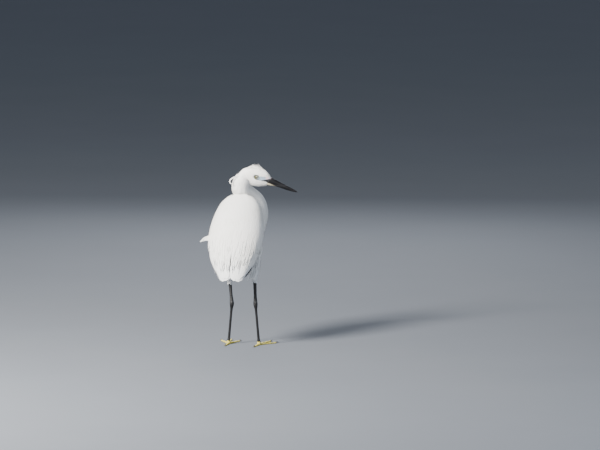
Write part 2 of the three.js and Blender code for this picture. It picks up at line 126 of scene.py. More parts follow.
# Share of the thigh's length from the hip: half thickness.
THIGH = np.array([
    [-0.5, 8], [-0.32, 18], [-0.1, 22.5], [0.2, 22.5], [0.5, 18], [0.8, 11.5], [1.02, 6.5], [1.3, 6],
], float)
ANKLE_RADIUS = 5.6
# Degrees from straight ahead, length and half thickness.
TOES = {"inner": (-27, 52, 2.9), "middle": (0, 63, 3.2), "outer": (26, 54, 2.9), "hind": (172, 33, 2.8)}
# No limb runs this way, so it fixes where the angle round each limb starts.
OFF_LIMBS = (0.2, 1, 0.1)

COAT_DEPTH = 4.0
# The angle round the body of the wing's lower edge.
WING_EDGE = math.radians(114)
# The width of one feather's patch in the OFBake map, and where the patches start and how far they go.
PATCH, PATCHES_START, PATCHES_SPAN = 0.003, 0.01, 0.97
SHARP_ANGLE = math.radians(62)


def place(points):
    """Millimetres of the bird's frame as metres of the part's frame."""
    return (np.asarray(points, float) + SHIFT) * MM


def smooth_at(table, where, column):
    """A smooth value through a table's rows, whose first column is the place."""
    x, y = table[:, 0], table[:, column]
    slope = np.gradient(y, x)
    slope[1:-1] = (y[2:] - y[:-2]) / (x[2:] - x[:-2])
    where = np.clip(where, x[0], x[-1])
    right = np.clip(np.searchsorted(x, where, side="right"), 1, len(x) - 1)
    left = right - 1
    span = x[right] - x[left]
    t = (where - x[left]) / span
    ease = t * t * (3 - 2 * t)
    bend = t * (1 - t) ** 2 * span * slope[left] + t * t * (t - 1) * span * slope[right]
    return y[left] * (1 - ease) + y[right] * ease + bend


def smoothstep(value, low, high):
    t = np.clip((value - low) / (high - low), 0, 1)
    return t * t * (3 - 2 * t)


def mixed(a, b, share):
    return a + (b - a) * share


def smooth_row(table, where):
    """Smooth values of every column after the first."""
    return [smooth_at(table, where, column) for column in range(1, table.shape[1])]


def smooth_line(points, count):
    """Points on a smooth line through the given ones."""
    knots = np.column_stack([np.arange(len(points)), points])
    return np.column_stack(smooth_row(knots, np.linspace(0, len(points) - 1, count)))


def unit(vectors):
    return vectors / np.linalg.norm(vectors, axis=1)[:, None]


def around(count):
    """Evenly spaced angles round a circle."""
    return np.linspace(0, 2 * math.pi, count + 1)[:-1]


def round_at(middle, radius, angle, across, side):
    """Points at angles round a middle line, between two directions across it."""
    return middle + radius[..., None] * (np.cos(angle)[..., None] * across + np.sin(angle)[..., None] * side)


def from_shoulder(along, height, aside):
    """Points down the body from the shoulder, at a height towards its back and aside to its left."""
    point = SHOULDER + np.multiply.outer(along, TAILWARD) + height[..., None] * BACKWARD
    point[..., 0] += aside
    return point


# Surfaces of the bird. Each takes millimetres along the lie of the feathers, an angle round
# the form and a lift off it, and gives points.
def on_body(along, angle, lift):
    half, widest, top, low, aside = smooth_row(BODY, along)
    cosine = np.cos(angle)
    rise = np.where(cosine > 0, top - widest, widest - low) + lift
    return from_shoulder(along, widest + rise * cosine, aside + (half + lift) * np.sin(angle))


class NeckLine:
    """The bent middle line of the neck, with the directions across it and its half thickness."""

    def __init__(self, rows):
        line, radius = np.split(smooth_line(rows, 400), [3], axis=1)
        steps = np.linalg.norm(np.diff(line, axis=0), axis=1)
        self.along = np.concatenate([[0], np.cumsum(steps)])
        self.length = self.along[-1]
        tangent = unit(np.gradient(line, self.along, axis=0))
        up = unit(np.cross(tangent, NECK_ACROSS))
        self.values = np.column_stack([line, np.cross(up, tangent), up, radius]).T

    def point(self, along, angle, lift):
        values = np.stack([np.interp(along, self.along, value) for value in self.values], axis=-1)
        middle, across, up, radius = np.split(values, [3, 6, 9], axis=-1)
        return round_at(middle, radius[..., 0] + lift, angle, across, up)


NECK_LINE = NeckLine(NECK)


def in_head(ahead, up, out):
    """A point in the head, measured from midway between the eyes."""
    ahead, up, out = np.broadcast_arrays(ahead, up, out)
    return HEAD_CENTRE + ahead[..., None] * HEAD_AHEAD + up[..., None] * HEAD_UP + out[..., None] * HEAD_OUT


def on_head(back, angle, lift):
    """Back from the root of the bill, and round the head from its top."""
    ahead = BILL_START - back
    top, bottom, half = smooth_row(HEAD, ahead)
    height = ((top - bottom) / 2 + lift) * np.cos(angle)
    return in_head(ahead, (top + bottom) / 2 + height, (half + lift) * np.sin(angle))


def thigh_surface(leg):
    """The surface of a thigh, and its length from hip to knee."""
    hip, knee = np.array(leg["hip"], float), np.array(leg["knee"], float)
    length = np.linalg.norm(knee - hip)
    tangent = (knee - hip) / length
    across = np.cross(tangent, OFF_LIMBS)
    across /= np.linalg.norm(across)
    side = np.cross(across, tangent)

    def point(along, angle, lift):
        middle = hip + np.multiply.outer(along, tangent)
        return round_at(middle, smooth_at(THIGH, along / length, 1) + lift, angle, across, side)

    return point, length


# Mesh builders
def add_object(name, data):
    added = bpy.data.objects.new(name, data)
    bpy.context.collection.objects.link(added)
    return added


def mesh_piece(name, points, faces):
    mesh = bpy.data.meshes.new(name)
    mesh.from_pydata(points.tolist(), [], faces)
    mesh.validate()
    return add_object(name, mesh)


def ring_faces(count, rings):
    """Faces between rings of points, each ring joined to the next."""
    faces = []
    for first in range(0, (rings - 1) * count, count):
        for i in range(count):
            a = first + i
            b = first + (i + 1) % count
            faces.append((a, b, b + count, a + count))
    return faces


def loft(name, rings):
    """A closed form through rings of points, capped at both ends."""
    rings = np.asarray(rings)
    stack, count = rings.shape[:2]
    faces = ring_faces(count, stack)
    faces.append(tuple(reversed(range(count))))
    faces.append(tuple(range((stack - 1) * count, stack * count)))
    piece = mesh_piece(name, place(rings.reshape(-1, 3)), faces)
    face_outward(piece)
    return piece


def face_outward(piece):
    only(piece)
    bpy.ops.object.mode_set(mode="EDIT")
    bpy.ops.mesh.select_all(action="SELECT")
    bpy.ops.mesh.normals_make_consistent(inside=False)
    bpy.ops.object.mode_set(mode="OBJECT")


def only(*pieces):
    bpy.ops.object.select_all(action="DESELECT")
    for piece in pieces:
        piece.select_set(True)
    bpy.context.view_layer.objects.active = pieces[0]


def join(name, pieces):
    only(*pieces)
    bpy.ops.object.join()
    joined = bpy.context.view_layer.objects.active
    joined.name = name
    joined.data.name = name
    return joined


def apply_modifier(piece, kind, **settings):
    only(piece)
    modifier = piece.modifiers.new(kind.title(), kind)
    for key, value in settings.items():
        setattr(modifier, key, value)
    bpy.ops.object.modifier_apply(modifier=modifier.name)


def shade_smooth(piece):
    piece.data.shade_smooth()
    piece.data.set_sharp_from_angle(angle=SHARP_ANGLE)
    return piece


# Feathers: closed thin blades that follow a surface. A shape gives shares of the length, each with
# its share of the half width.
SOFT = np.array([[0, 0.45], [0.3, 0.85], [0.62, 1.0], [0.86, 0.74]])
PLUME = np.array([[0, 0.5], [0.2, 0.8], [0.42, 1.0], [0.62, 0.92], [0.8, 0.68], [0.93, 0.36]])
BLADE = np.array([
    [0, 0.35], [0.08, 0.55], [0.2, 0.8], [0.35, 0.93], [0.5, 1.0],
    [0.66, 1.0], [0.8, 0.97], [0.9, 0.86], [0.955, 0.66], [0.988, 0.36],
])
# How much of its thickness a blade loses towards the tip and towards its edges.
TIP_THINNING, EDGE_THINNING = 0.6, 0.85
# How far roots stray from their even places, as a share of the spacing.
ROOT_STRAY = 0.35


def rows_of(shape):
    """Shares of the length where a feather has its points, with the tip last."""
    return np.append(shape[:, 0], 1.0)


def lines_between(start, end, share):
    """One row for each feather, from its start to its end."""
    return start[:, None] + (end - start)[:, None] * share


def turn_radius(surface, p, q, lift, step):
    """Millimetres for each radian round a surface."""
    return np.linalg.norm(surface(p, q + step, lift) - surface(p, q, lift), axis=-1) / step


def blade_faces(ring, rows):
    """Rings round a blade, closed by a point at its root and one at its tip."""
    faces = ring_faces(ring, rows)
    root, tip, last = rows * ring, rows * ring + 1, (rows - 1) * ring
    for i in range(ring):
        following = (i + 1) % ring
        faces.append((root, following, i))
        faces.append((tip, last + i, last + following))
    return faces


def feather_mesh(name, surface, paths, widths, shape, thickness, inner=1, fray=0.0):
    """Feathers on a surface. The paths are their middle lines in millimetres along it, angle and
    lift: one row a feather, with a column for each row of the shape and one for the tip."""
    count, rows = len(widths), len(shape)
    share, profile = shape.T
    steps = np.linspace(-1, 1, inner + 2)
    across = np.concatenate([steps, steps[-2:0:-1]])
    side = np.concatenate([[0], np.ones(inner), [0], -np.ones(inner)])
    ring = len(across)
    p, q, lift = (path[:, :rows] for path in paths)
    radius = np.maximum(turn_radius(surface, p, q, lift, 0.01), 1.5)
    ahead_p, ahead_q = (np.gradient(path, axis=1)[:, :rows] for path in paths[:2])
    ahead_q = ahead_q * radius
    norm = np.hypot(ahead_p, ahead_q) + 1e-9
    width = widths[:, None] * profile * (1 + fray * RANDOM.uniform(-1, 1, (count, rows)))
    offset = across * width[..., None]
    grid_p = p[..., None] - (ahead_q / norm)[..., None] * offset
    grid_q = q[..., None] + (ahead_p / norm)[..., None] * offset / radius[..., None]
    lens = side * np.sqrt(1 - EDGE_THINNING * across**2) / 2
    grid_lift = lift[..., None] + thickness * (1 - TIP_THINNING * share)[:, None] * lens
    body = surface(grid_p, grid_q, grid_lift).reshape(count, rows * ring, 3)
    root, tip = (surface(*(path[:, end] for path in paths))[:, None] for end in (0, -1))
    points = np.concatenate([body, root, tip], axis=1)
    each = points.shape[1]
    faces = []
    for first in range(0, count * each, each):
        faces += [tuple(index + first for index in face) for face in blade_faces(ring, rows)]
    piece = mesh_piece(name, place(points.reshape(-1, 3)), faces)
    vane_u = np.concatenate([np.tile(0.5 + 0.5 * across, rows), [0.5, 0.5]])
    vane_v = np.concatenate([np.repeat(share, ring), [0, 1]])
    start_p = p[:, 0] - p[:, 0].min()
    patch_u = PATCHES_START + PATCHES_SPAN * (q[:, 0] + math.pi) / (2 * math.pi)
    patch_v = PATCHES_START + PATCHES_SPAN * start_p / (start_p.max() + 1)
    return map_vanes(piece, vane_u, vane_v, patch_u, patch_v)


def map_vanes(piece, u, v, patch_u, patch_v):
    """Vane runs over each feather. OFBake holds the same, small, about each feather's patch."""
    bake_u = patch_u[:, None] + PATCH * (u - 0.5)
    bake_v = patch_v[:, None] + PATCH * (v - 0.5)
    add_uv(piece, "OFBake", bake_u.ravel(), bake_v.ravel())
    add_uv(piece, "Vane", np.tile(u, len(patch_u)), np.tile(v, len(patch_v)))
    return shade_smooth(piece)


def add_uv(piece, name, u, v):
    layer = piece.data.uv_layers.new(name=name)
    corner = np.empty(len(piece.data.loops), np.int32)
    piece.data.loops.foreach_get("vertex_index", corner)
    layer.data.foreach_set("uv", np.column_stack([u[corner], v[corner]]).ravel())


def scattered(low, high, spacing, surface, angles=(-math.pi, math.pi)):
    """Roots in staggered rows over part of a surface, spaced evenly in millimetres."""
    roots = []
    span = angles[1] - angles[0]
    samples = 64
    for index, along in enumerate(np.arange(low, high, spacing[0])):
        ring = surface(np.full(samples, along), np.linspace(*angles, samples), 0.0)
        girth = np.linalg.norm(np.diff(ring, axis=0), axis=1).sum()
        number = max(3, int(girth / spacing[1]))
        shift = 0.5 * (index % 2)
        turn = angles[0] + (np.arange(number) + shift) * span / number
        row = np.column_stack([np.full(number, along), turn])
        row[:, 0] += RANDOM.uniform(-ROOT_STRAY, ROOT_STRAY, number) * spacing[0]
        row[:, 1] += RANDOM.uniform(-ROOT_STRAY, ROOT_STRAY, number) * span / number
        roots.append(row)
    return np.concatenate(roots)


def lain(roots, lengths, shape, surface, yaw, sink, lift):
    """Middle lines of feathers that leave their roots along the lie, turned by yaw. They start
    sunk below the surface and rise to their lift at the tip."""
    share = rows_of(shape)
    reach = lengths[:, None] * share
    radius = turn_radius(surface, *roots.T, 0.0, 0.02)
    path_p = roots[:, :1] + reach * np.cos(yaw)[:, None]
    path_q = roots[:, 1:] + reach * np.sin(yaw)[:, None] / np.maximum(radius, 4)[:, None]
    path_lift = -sink + (lift + sink)[:, None] * share**0.8
    return path_p, path_q, path_lift


def spread_of(count, amount):
    return RANDOM.uniform(-amount, amount, count)


# Finishes
class Number:
    """A number in a material; sums and products on it add Math nodes."""

    def __init__(self, finish, socket):
        self.finish = finish
        self.socket = socket

    def math(self, operation, *others):
        return self.finish.math(operation, self, *others)

    def __add__(self, other):
        return self.math("ADD", other)

    __radd__ = __add__

    def __sub__(self, other):
        return self.math("SUBTRACT", other)

    def __rsub__(self, other):
        return self.finish.math("SUBTRACT", other, self)

    def __mul__(self, other):
        return self.math("MULTIPLY", other)

    __rmul__ = __mul__

    def __pow__(self, other):
        return self.math("POWER", other)

    def __abs__(self):
        return self.math("ABSOLUTE")

    def between(self, low, high):
        """A smooth rise from 0 to 1 between two values."""
        inputs = {"Value": self, "From Min": low, "From Max": high}
        return self.finish.node("MapRange", {"interpolation_type": "SMOOTHSTEP"}, inputs)


class Finish:
    """A material with its shader; node() adds a shader node of any other kind to it."""

    def __init__(self, name, **sockets):
        self.material = bpy.data.materials.new(name)
        self.material.use_nodes = True
        self.tree = self.material.node_tree
        self.shader = self.tree.nodes["Principled BSDF"]
        self.set(**sockets)

    def node(self, kind, settings=None, inputs=None, output=0):
        node = self.tree.nodes.new("ShaderNode" + kind)
        for key, value in (settings or {}).items():
            setattr(node, key, value)
        for key, value in (inputs or {}).items():
            self.feed(node.inputs[key], value)
        return Number(self, node.outputs[output])

    def math(self, operation, *terms):
        return self.node("Math", {"operation": operation}, dict(enumerate(terms)))

    def feed(self, socket, value):
        if isinstance(value, Number):
            self.tree.links.new(value.socket, socket)
        else:
            socket.default_value = value

    def where(self, axis=None):
        """Object coordinates in metres, or one of them."""
        position = self.node("TexCoord", output=3)
        return position if axis is None else self.part_of(position, axis)

    def part_of(self, vector, axis):
        return self.node("SeparateXYZ", None, {0: vector}, output=axis)

    def stretched(self, scale, turn=(0, 0, 0)):
        inputs = {"Vector": self.where(), "Scale": scale, "Rotation": turn}
        return self.node("Mapping", None, inputs)

    def noise(self, scale, detail, vector=None):
        inputs = {"Scale": scale, "Detail": detail, "Roughness": 0.55, "Vector": vector or self.where()}
        return self.node("TexNoise", None, inputs)

    def blend(self, share, first, second):
        """A mix of two colours, which a Mix node takes in at 6 and 7 and gives out at 2."""
        return self.node("Mix", {"data_type": "RGBA"}, {0: share, 6: first, 7: second}, output=2)

    def bump(self, height, strength, distance):
        inputs = {"Height": height, "Strength": strength, "Distance": distance}
        self.feed(self.shader.inputs["Normal"], self.node("Bump", None, inputs))

    def set(self, **values):
        for socket, value in values.items():
            self.feed(self.shader.inputs[socket.replace("_", " ")], value)


def rgb(red, green, blue):
    return (red, green, blue, 1)


def plumage_colour_and_painted_shade(finish):
    """Warm white with cream drifts, and painted shade: a cool blue-grey cast low on the flanks and belly."""
    drift = finish.noise(14, 4).between(0.4, 0.68)
    along_body = finish.stretched((1.6, 1.0, 0.14), (BODY_PITCH - math.pi / 2, 0, 0))
    streaks = finish.noise(60, 3, along_body).between(0.5, 0.8)
    white = finish.blend(drift, rgb(0.91, 0.90, 0.87), rgb(0.87, 0.85, 0.80))
    white = finish.blend(streaks * 0.5, white, rgb(0.80, 0.78, 0.72))
    # Painted shade: below about 0.17 to 0.27 m up, the white is mixed with a cool blue-grey that stands in
    # for the shade low on the body.
    low = 1 - finish.where(axis=2).between(0.17, 0.27)
    return finish.blend(low * 0.45, white, rgb(0.72, 0.75, 0.80))


def plumage_finish():
    """White vanes with a fine shaft and slanting barbs, a little greyer towards their edges."""
    finish = Finish("white_feather", Roughness=0.72, Sheen_Weight=0.25, Sheen_Roughness=0.5, IOR=1.4)
    vane = finish.node("UVMap", {"uv_map": "Vane"})
    across = abs(finish.part_of(vane, 0) - 0.5) * 2
    along = finish.part_of(vane, 1)
    shaft = 1 - across.between(0.03, 0.16)
    edge = across.between(0.55, 1.0)
    waves = across * 9 - along * 26
    barbs = (waves * 6.283).math("SINE")
    colour = finish.blend(edge * 0.35, plumage_colour_and_painted_shade(finish), rgb(0.80, 0.80, 0.80))
    finish.set(Base_Color=finish.blend(shaft * 0.3, colour, rgb(0.93, 0.90, 0.82)))
    finish.set(Roughness=0.66 + 0.12 * barbs)
    finish.bump(0.5 * barbs + shaft * 1.4, 0.3, 0.0003)
    return finish.material


def down_finish():
    finish = Finish("white_down", Roughness=0.85, Sheen_Weight=0.3, Sheen_Roughness=0.6)
    finish.set(Base_Color=plumage_colour_and_painted_shade(finish))
    finish.bump(finish.noise(900, 2), 0.4, 0.0004)
    return finish.material


def head_place(finish):
    """How far ahead of the eye and above it a point is, in millimetres."""
    centre = place(HEAD_CENTRE)
    numbers = []
    for direction in (HEAD_AHEAD, HEAD_UP):
        inputs = {0: finish.where(), 1: tuple(direction)}
        metres = finish.node("VectorMath", {"operation": "DOT_PRODUCT"}, inputs, output=1)
        numbers.append((metres - float(centre @ direction)) * (1 / MM))
    return numbers


def face_finish():
    """Bare skin before the eye: pale blue-grey, pinkish above, with the black wedge of the gape."""
    finish = Finish("bare_face_skin", Roughness=0.5, Specular_IOR_Level=0.45)
    ahead, up = head_place(finish)
    pink_ahead, pink_up = ahead - 25, up - 11
    pink = 1 - ((pink_ahead * pink_ahead + pink_up * pink_up) ** 0.5).between(2.0, 6.5)
    mottle = finish.noise(420, 3)
    grey = finish.blend(mottle.between(0.35, 0.7), rgb(0.36, 0.44, 0.52), rgb(0.22, 0.28, 0.35))
    skin = finish.blend(pink * 0.85, grey, rgb(0.62, 0.45, 0.46))
    gape = ((ahead - 14) * 0.74 - 2 - up + 0.6 * mottle).between(0.0, 0.9)
    finish.set(Base_Color=finish.blend(gape, skin, rgb(0.014, 0.014, 0.016)))
    inputs = {"Vector": finish.where(), "Scale": 1500}
    pebbles = finish.node("TexVoronoi", {"feature": "SMOOTH_F1"}, inputs)
    finish.bump(pebbles, 0.35, 0.0002)
    return finish.material


def grained_finish(name, rough, scale, detail, dark, light, strength):
    finish = Finish(name, Roughness=rough)
    grain = finish.noise(scale, detail)
    finish.set(Base_Color=finish.blend(grain, dark, light))
    finish.bump(grain, strength, 0.0002)
    return finish.material


def bill_finish(half):
    """Black horn, worn grey along its length and paler at its root."""
    finish = Finish(f"bill_{half}_horn", Roughness=0.4, Specular_IOR_Level=0.14)
    ahead, up = head_place(finish)
    grain = finish.noise(90, 4, finish.stretched((0.25, 1.6, 1.6), (0, math.radians(-25), 0)))
    horn = finish.blend(grain.between(0.4, 0.8), rgb(0.003, 0.003, 0.004), rgb(0.012, 0.012, 0.014))
    root = ahead - BILL_START
    if half == "lower":
        pale = (1 - root.between(7.0, 30.0)) * (1 - (up - 0.06 * root).between(-3.5, 1.0))
        horn = finish.blend(pale, horn, rgb(0.60, 0.53, 0.38))
    else:
        pale = (1 - root.between(-1.0, 5.0)) * up.between(9.0, 12.0)
        horn = finish.blend(pale * 0.7, horn, rgb(0.34, 0.26, 0.26))
    finish.set(Base_Color=horn, Roughness=0.42 + 0.3 * grain)
    finish.bump(grain, 0.25, 0.0004)
    return finish.material


def eye_finish():
    """A pale yellow iris with fine rays, a dark rim and a black pupil, by distance from its axis."""
    finish = Finish("eye_iris", Roughness=0.08, Coat_Weight=1.0, Coat_Roughness=0.03)
    ahead, up = head_place(finish)
    radius = (ahead * ahead + up * up) ** 0.5
    turn = up.math("ARCTAN2", ahead)
    rays = finish.noise(1, 3, finish.node("CombineXYZ", None, {0: turn * 9, 1: radius * 0.9}))
    rim = radius.between(3.9, 4.8)
    pupil = 1 - radius.between(2.35, 2.6)
    iris = finish.blend(rays.between(0.35, 0.65), rgb(0.27, 0.25, 0.10), rgb(0.14, 0.13, 0.06))
    iris = finish.blend(rim, iris, rgb(0.04, 0.04, 0.03))
    finish.set(Base_Color=finish.blend(pupil, iris, rgb(0.003, 0.003, 0.003)))
    return finish.material


def scute_finish(name, dark, light, scale, rough):
    """Leg skin in plates, darker in the seams."""
    finish = Finish(name, Roughness=rough, Specular_IOR_Level=0.5)
    inputs = {"Vector": finish.stretched((1, 1, 0.7)), "Scale": scale, "Randomness": 0.55}
    plates = finish.node("TexVoronoi", {"feature": "DISTANCE_TO_EDGE"}, inputs)
    seam = 1 - plates.between(0.0, 0.12)
    tone = finish.noise(110, 4)
    skin = finish.blend(tone.between(0.3, 0.72), dark, light)
    in_seam = rgb(*(0.45 * part for part in dark[:3]))
    finish.set(Base_Color=finish.blend(seam * 0.6, skin, in_seam))
    finish.set(Roughness=rough + 0.15 * seam)
    finish.bump(plates.between(0.0, 0.25) + 0.3 * tone, 0.5, 0.0005)
    return finish.material


def dress(piece, material, slot, *nodes):
    piece.data.materials.append(material)
    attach(piece, "root")
    if nodes:
        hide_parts(*nodes)


# The skin under the coat, in one piece from the head to the thighs
FORM_SIDES = 48


def form(name, surface, along, lift):
    grid_p, grid_q = np.meshgrid(along, around(FORM_SIDES), indexing="ij")
    return loft(name, surface(grid_p, grid_q, lift))


def skin_parts():
    # The skin lies deeper under the coat at back and sides than along the belly.
    body_lift = -COAT_DEPTH - 1.5 * smoothstep(np.abs(around(FORM_SIDES) - math.pi), 0.6, 1.4)
    head_along = np.maximum(np.linspace(-2, BILL_START + 43, 40), -0.5)
    nape = [
        (in_head(-18.0, 5.0, 0.0), 14),
        (in_head(-32.0, -6.0, 0.0), 13.5),
        ((2, -66, 430), 18),
        ((9, -64, 406), 20),
    ]
    parts = [
        form("body_form", on_body, np.linspace(TORSO_START, TORSO_END + 18, 60), body_lift),
        form("neck_form", NECK_LINE.point, np.linspace(0, NECK_LINE.length, 70), -3.2),
        form("head_form", on_head, head_along, -1.6),
        limb("nape_form", nape, 40, 30),
    ]
    for side, leg in LEGS.items():
        surface, length = thigh_surface(leg)
        along = np.linspace(-0.48 * length, length * 1.02, 40)
        parts.append(form("thigh_form_" + side, surface, along, -2.6))
    return parts


def make_skin():
    skin = join("plumage_skin", skin_parts())
    apply_modifier(skin, "REMESH", mode="VOXEL", voxel_size=0.0019)
    apply_modifier(skin, "SMOOTH", factor=0.5, iterations=6)
    sink_eye_hollows(skin)
    return shade_smooth(skin)


def sink_eye_hollows(skin):
    """Press the skin in round each eye, so that ball and lids stand in a hollow."""
    centre = Vector(place(HEAD_CENTRE))
    ahead, up, out = (Vector(direction) for direction in (HEAD_AHEAD, HEAD_UP, HEAD_OUT))
    hollow, floor_radius, depth_inside, rise = 9.5, 5.2, 10.8, 5
    for vertex in skin.data.vertices:
        offset = (vertex.co - centre) / MM
        away = math.hypot(offset.dot(ahead) * 0.92, offset.dot(up))
        if away > hollow or offset.length > 20:
            continue
        depth = offset.dot(out)
        limit = depth_inside + rise * smoothstep(away, floor_radius, hollow)
        if abs(depth) > limit:
            vertex.co -= out * (depth - math.copysign(limit, depth)) * MM


def coat_test(skin):
    """A test that keeps the roots which stand outside the skin, no further off it than a reach."""
    tree = BVHTree.FromObject(skin, bpy.context.evaluated_depsgraph_get())

    def keep(roots, surface, reach):
        kept = []
        for spot in place(surface(*roots.T, 0.0)):
            point, normal, _, distance = tree.find_nearest(Vector(spot))
            outside = normal.dot(Vector(spot) - point) > 0
            kept.append(outside and distance < reach * MM)
        return roots[np.array(kept)]

    return keep


def coat_piece(name, surface, roots, length, width, yaw, lift, thickness=0.5, sink=1.6, scatter=0.2):
    """One piece of the coat: a soft feather at each root, in sizes that vary a little."""
    count = len(roots)
    lengths = length * RANDOM.uniform(0.82, 1.15, count)
    widths = width * RANDOM.uniform(0.85, 1.15, count)
    turned = spread_of(count, yaw)
    lifts = lift + RANDOM.normal(0, scatter, count)
    paths = lain(roots, lengths, SOFT, surface, turned, sink, lifts)
    return feather_mesh(name, surface, paths, widths, SOFT, thickness, fray=0.12)


def make_body_coat(keep):
    def open_roots(low, high, spacing, angles):
        return keep(scattered(low, high, spacing, on_body, angles), on_body, 9)

    edge = math.radians(104)
    belly = open_roots(-24, 182, (3.8, 3.4), (edge, 2 * math.pi - edge))
    under = coat_piece("belly_feathers", on_body, belly, 18, 2.7, yaw=0.14, lift=-0.2, thickness=0.35)
    shoulders = open_roots(-22, 104, (3.2, 2.8), (-edge - 0.1, edge + 0.1))
    front = coat_piece("shoulder_feathers", on_body, shoulders, 24, 2.1, yaw=0.05, lift=0.5,
                       thickness=0.25, sink=0.5, scatter=0.06)
    rump = open_roots(120, 196, (4.6, 4.2), (-0.9, 0.9))
    rear = coat_piece("rump_feathers", on_body, rump, 20, 2.7, yaw=0.15, lift=-3.5, sink=4.5)
    return [under, front, rear]


def make_neck_coat(keep):
    surface = NECK_LINE.point
    roots = keep(scattered(4, NECK_LINE.length - 6, (3.2, 2.5), surface), surface, 8)
    return coat_piece("neck_feathers", surface, roots, 15, 1.4, yaw=0.12, lift=0.2, thickness=0.25,
                      sink=1.0, scatter=0.12)


def face_edges(ahead):
    """Lower and upper edge of the bare skin between the eye and the bill."""
    low = mixed(-4.0, 1.0, smoothstep(ahead, 6, 33))
    high = mixed(4.6, 13.2, smoothstep(ahead, 1, 31))
    return low, high


def bare_face(back, angle, eye_room):
    """True for a place on the eye, its lids or the bare skin before it."""
    ahead = BILL_START - back
    top, bottom, _ = smooth_row(HEAD, ahead)
    up = (top + bottom) / 2 + (top - bottom) / 2 * np.cos(angle)
    low, high = face_edges(ahead)
    eye = np.hypot(ahead, up) < eye_room
    return eye | ((ahead > 2) & (up > low) & (up < high))


def make_head_coat(keep):
    roots = scattered(0.8, BILL_START + 42, (1.7, 1.5), on_head)
    roots = roots[~bare_face(*roots.T, EYE_RADIUS + 1.3)]
    roots = keep(roots, on_head, 6)
    grown = smoothstep(roots[:, 0], 2, 26)
    count = len(roots)
    lengths = mixed(2.8, 8.5, grown) * RANDOM.uniform(0.85, 1.15, count)
    widths = mixed(0.7, 1.1, grown) * RANDOM.uniform(0.85, 1.15, count)
    lift = mixed(0.1, 0.4, grown) + RANDOM.normal(0, 0.08, count)
    paths = lain(roots, lengths, SOFT, on_head, spread_of(count, 0.2), 0.8, lift)
    clear = ~bare_face(*paths[:2], EYE_RADIUS + 0.9).any(axis=1)
    coat = feather_mesh("head_feathers", on_head, [path[clear] for path in paths], widths[clear], SOFT,
                        0.25, fray=0.1)
    crown = scattered(14, 60, (2.1, 1.9), on_head, (-0.85, 0.85))
    count = len(crown)
    raised = smoothstep(crown[:, 0], 14, 34) * (1 - 0.6 * smoothstep(crown[:, 0], 42, 60))
    lengths = mixed(6, 15, raised) * RANDOM.uniform(0.7, 1.3, count)
    stray = RANDOM.uniform(0, 1, count) ** 5
    lift = 0.5 * RANDOM.uniform(0.3, 1.1, count) + 8.0 * stray * raised
    paths = lain(crown, lengths, PLUME, on_head, spread_of(count, 0.45), 1.2, lift)
    crest = feather_mesh("crown_feathers", on_head, paths, np.full(count, 0.7), PLUME, 0.4, fray=0.2)
    return [coat, crest]


def make_thigh_coat(keep, side):
    surface, length = thigh_surface(LEGS[side])
    roots = keep(scattered(-0.45 * length, length * 0.98, (3.0, 2.6), surface), surface, 8)
    return coat_piece("thigh_feathers_" + side, surface, roots, 13, 1.7, yaw=0.25, lift=0.2,
                      thickness=0.4, sink=2)


def vane_fan(name, side, count, starts, ends, roots, tips, lifts, width, thickness):
    """A row of overlapping vanes in the wing, from its upper to its lower edge."""
    share = np.linspace(0, 1, count)
    rows = rows_of(BLADE)
    jitter = RANDOM.uniform(-1, 1, (3, count))
    start_p = mixed(*starts, share) + 2.0 * jitter[0]
    end_p = np.interp(share, *zip(*ends)) + 1.2 * jitter[1]
    end_q = mixed(*tips, share) + 0.02 * jitter[2]
    path_p = lines_between(start_p, end_p, rows)
    path_q = lines_between(mixed(*roots, share), end_q, rows * rows * (3 - 2 * rows))
    lift = mixed(*lifts, share)[:, None] - 2.5 * (1 - rows) ** 2
    paths = (path_p, side * path_q, lift)
    return feather_mesh(name, on_body, paths, np.full(count, width), BLADE, thickness, 3, 0.03)


# Rows of vanes: name, number, where the upper and the lower vane start along the body, ends along it
# against the share from the upper to the lower one, angles at the roots and at the tips, lifts, half
# width and thickness.
WING_ROWS = (
    ("flight", 12, (96, 112), ((0, 219), (0.4, 223), (0.7, 217), (0.85, 208), (1, 190)),
     (0.4, 1.8), (0.22, 1.42), (-3.0, -3.5), 9.5, 0.7),
    ("inner_flight", 9, (84, 96), ((0, 216), (0.35, 218), (0.6, 209), (1, 172)),
     (0.2, 1.65), (0.26, 1.5), (-1.6, -2.2), 9.0, 0.7),
    ("great_covert", 14, (62, 70), ((0, 150), (1, 126)),
     (0.15, 1.9), (0.2, 1.82), (-1.2, -1.2), 7.5, 0.6),
)


def make_wing_coat(side_name):
    side = 1 if side_name == "left" else -1
    vanes = [vane_fan(name + "_" + side_name, side, *row) for name, *row in WING_ROWS]
    low, high = 0.12, 1.95
    roots = scattered(-20, 100, (7.5, 7.0), on_body, (low, high) if side > 0 else (-high, -low))
    roots = roots[np.abs(roots[:, 1]) < WING_EDGE - 0.05]
    size = smoothstep(roots[:, 0], -20, 80)
    count = len(roots)
    lengths = mixed(15, 34, size) * RANDOM.uniform(0.9, 1.1, count)
    widths = mixed(3.8, 6.2, size) * RANDOM.uniform(0.9, 1.1, count)
    turned = spread_of(count, 0.05)
    paths = lain(roots, lengths, BLADE, on_body, turned, 2.0, RANDOM.normal(-0.7, 0.1, count))
    coverts = feather_mesh("covert_" + side_name, on_body, paths, widths, BLADE, 0.5)
    return join("wing_feathers_" + side_name, [*vanes, coverts])


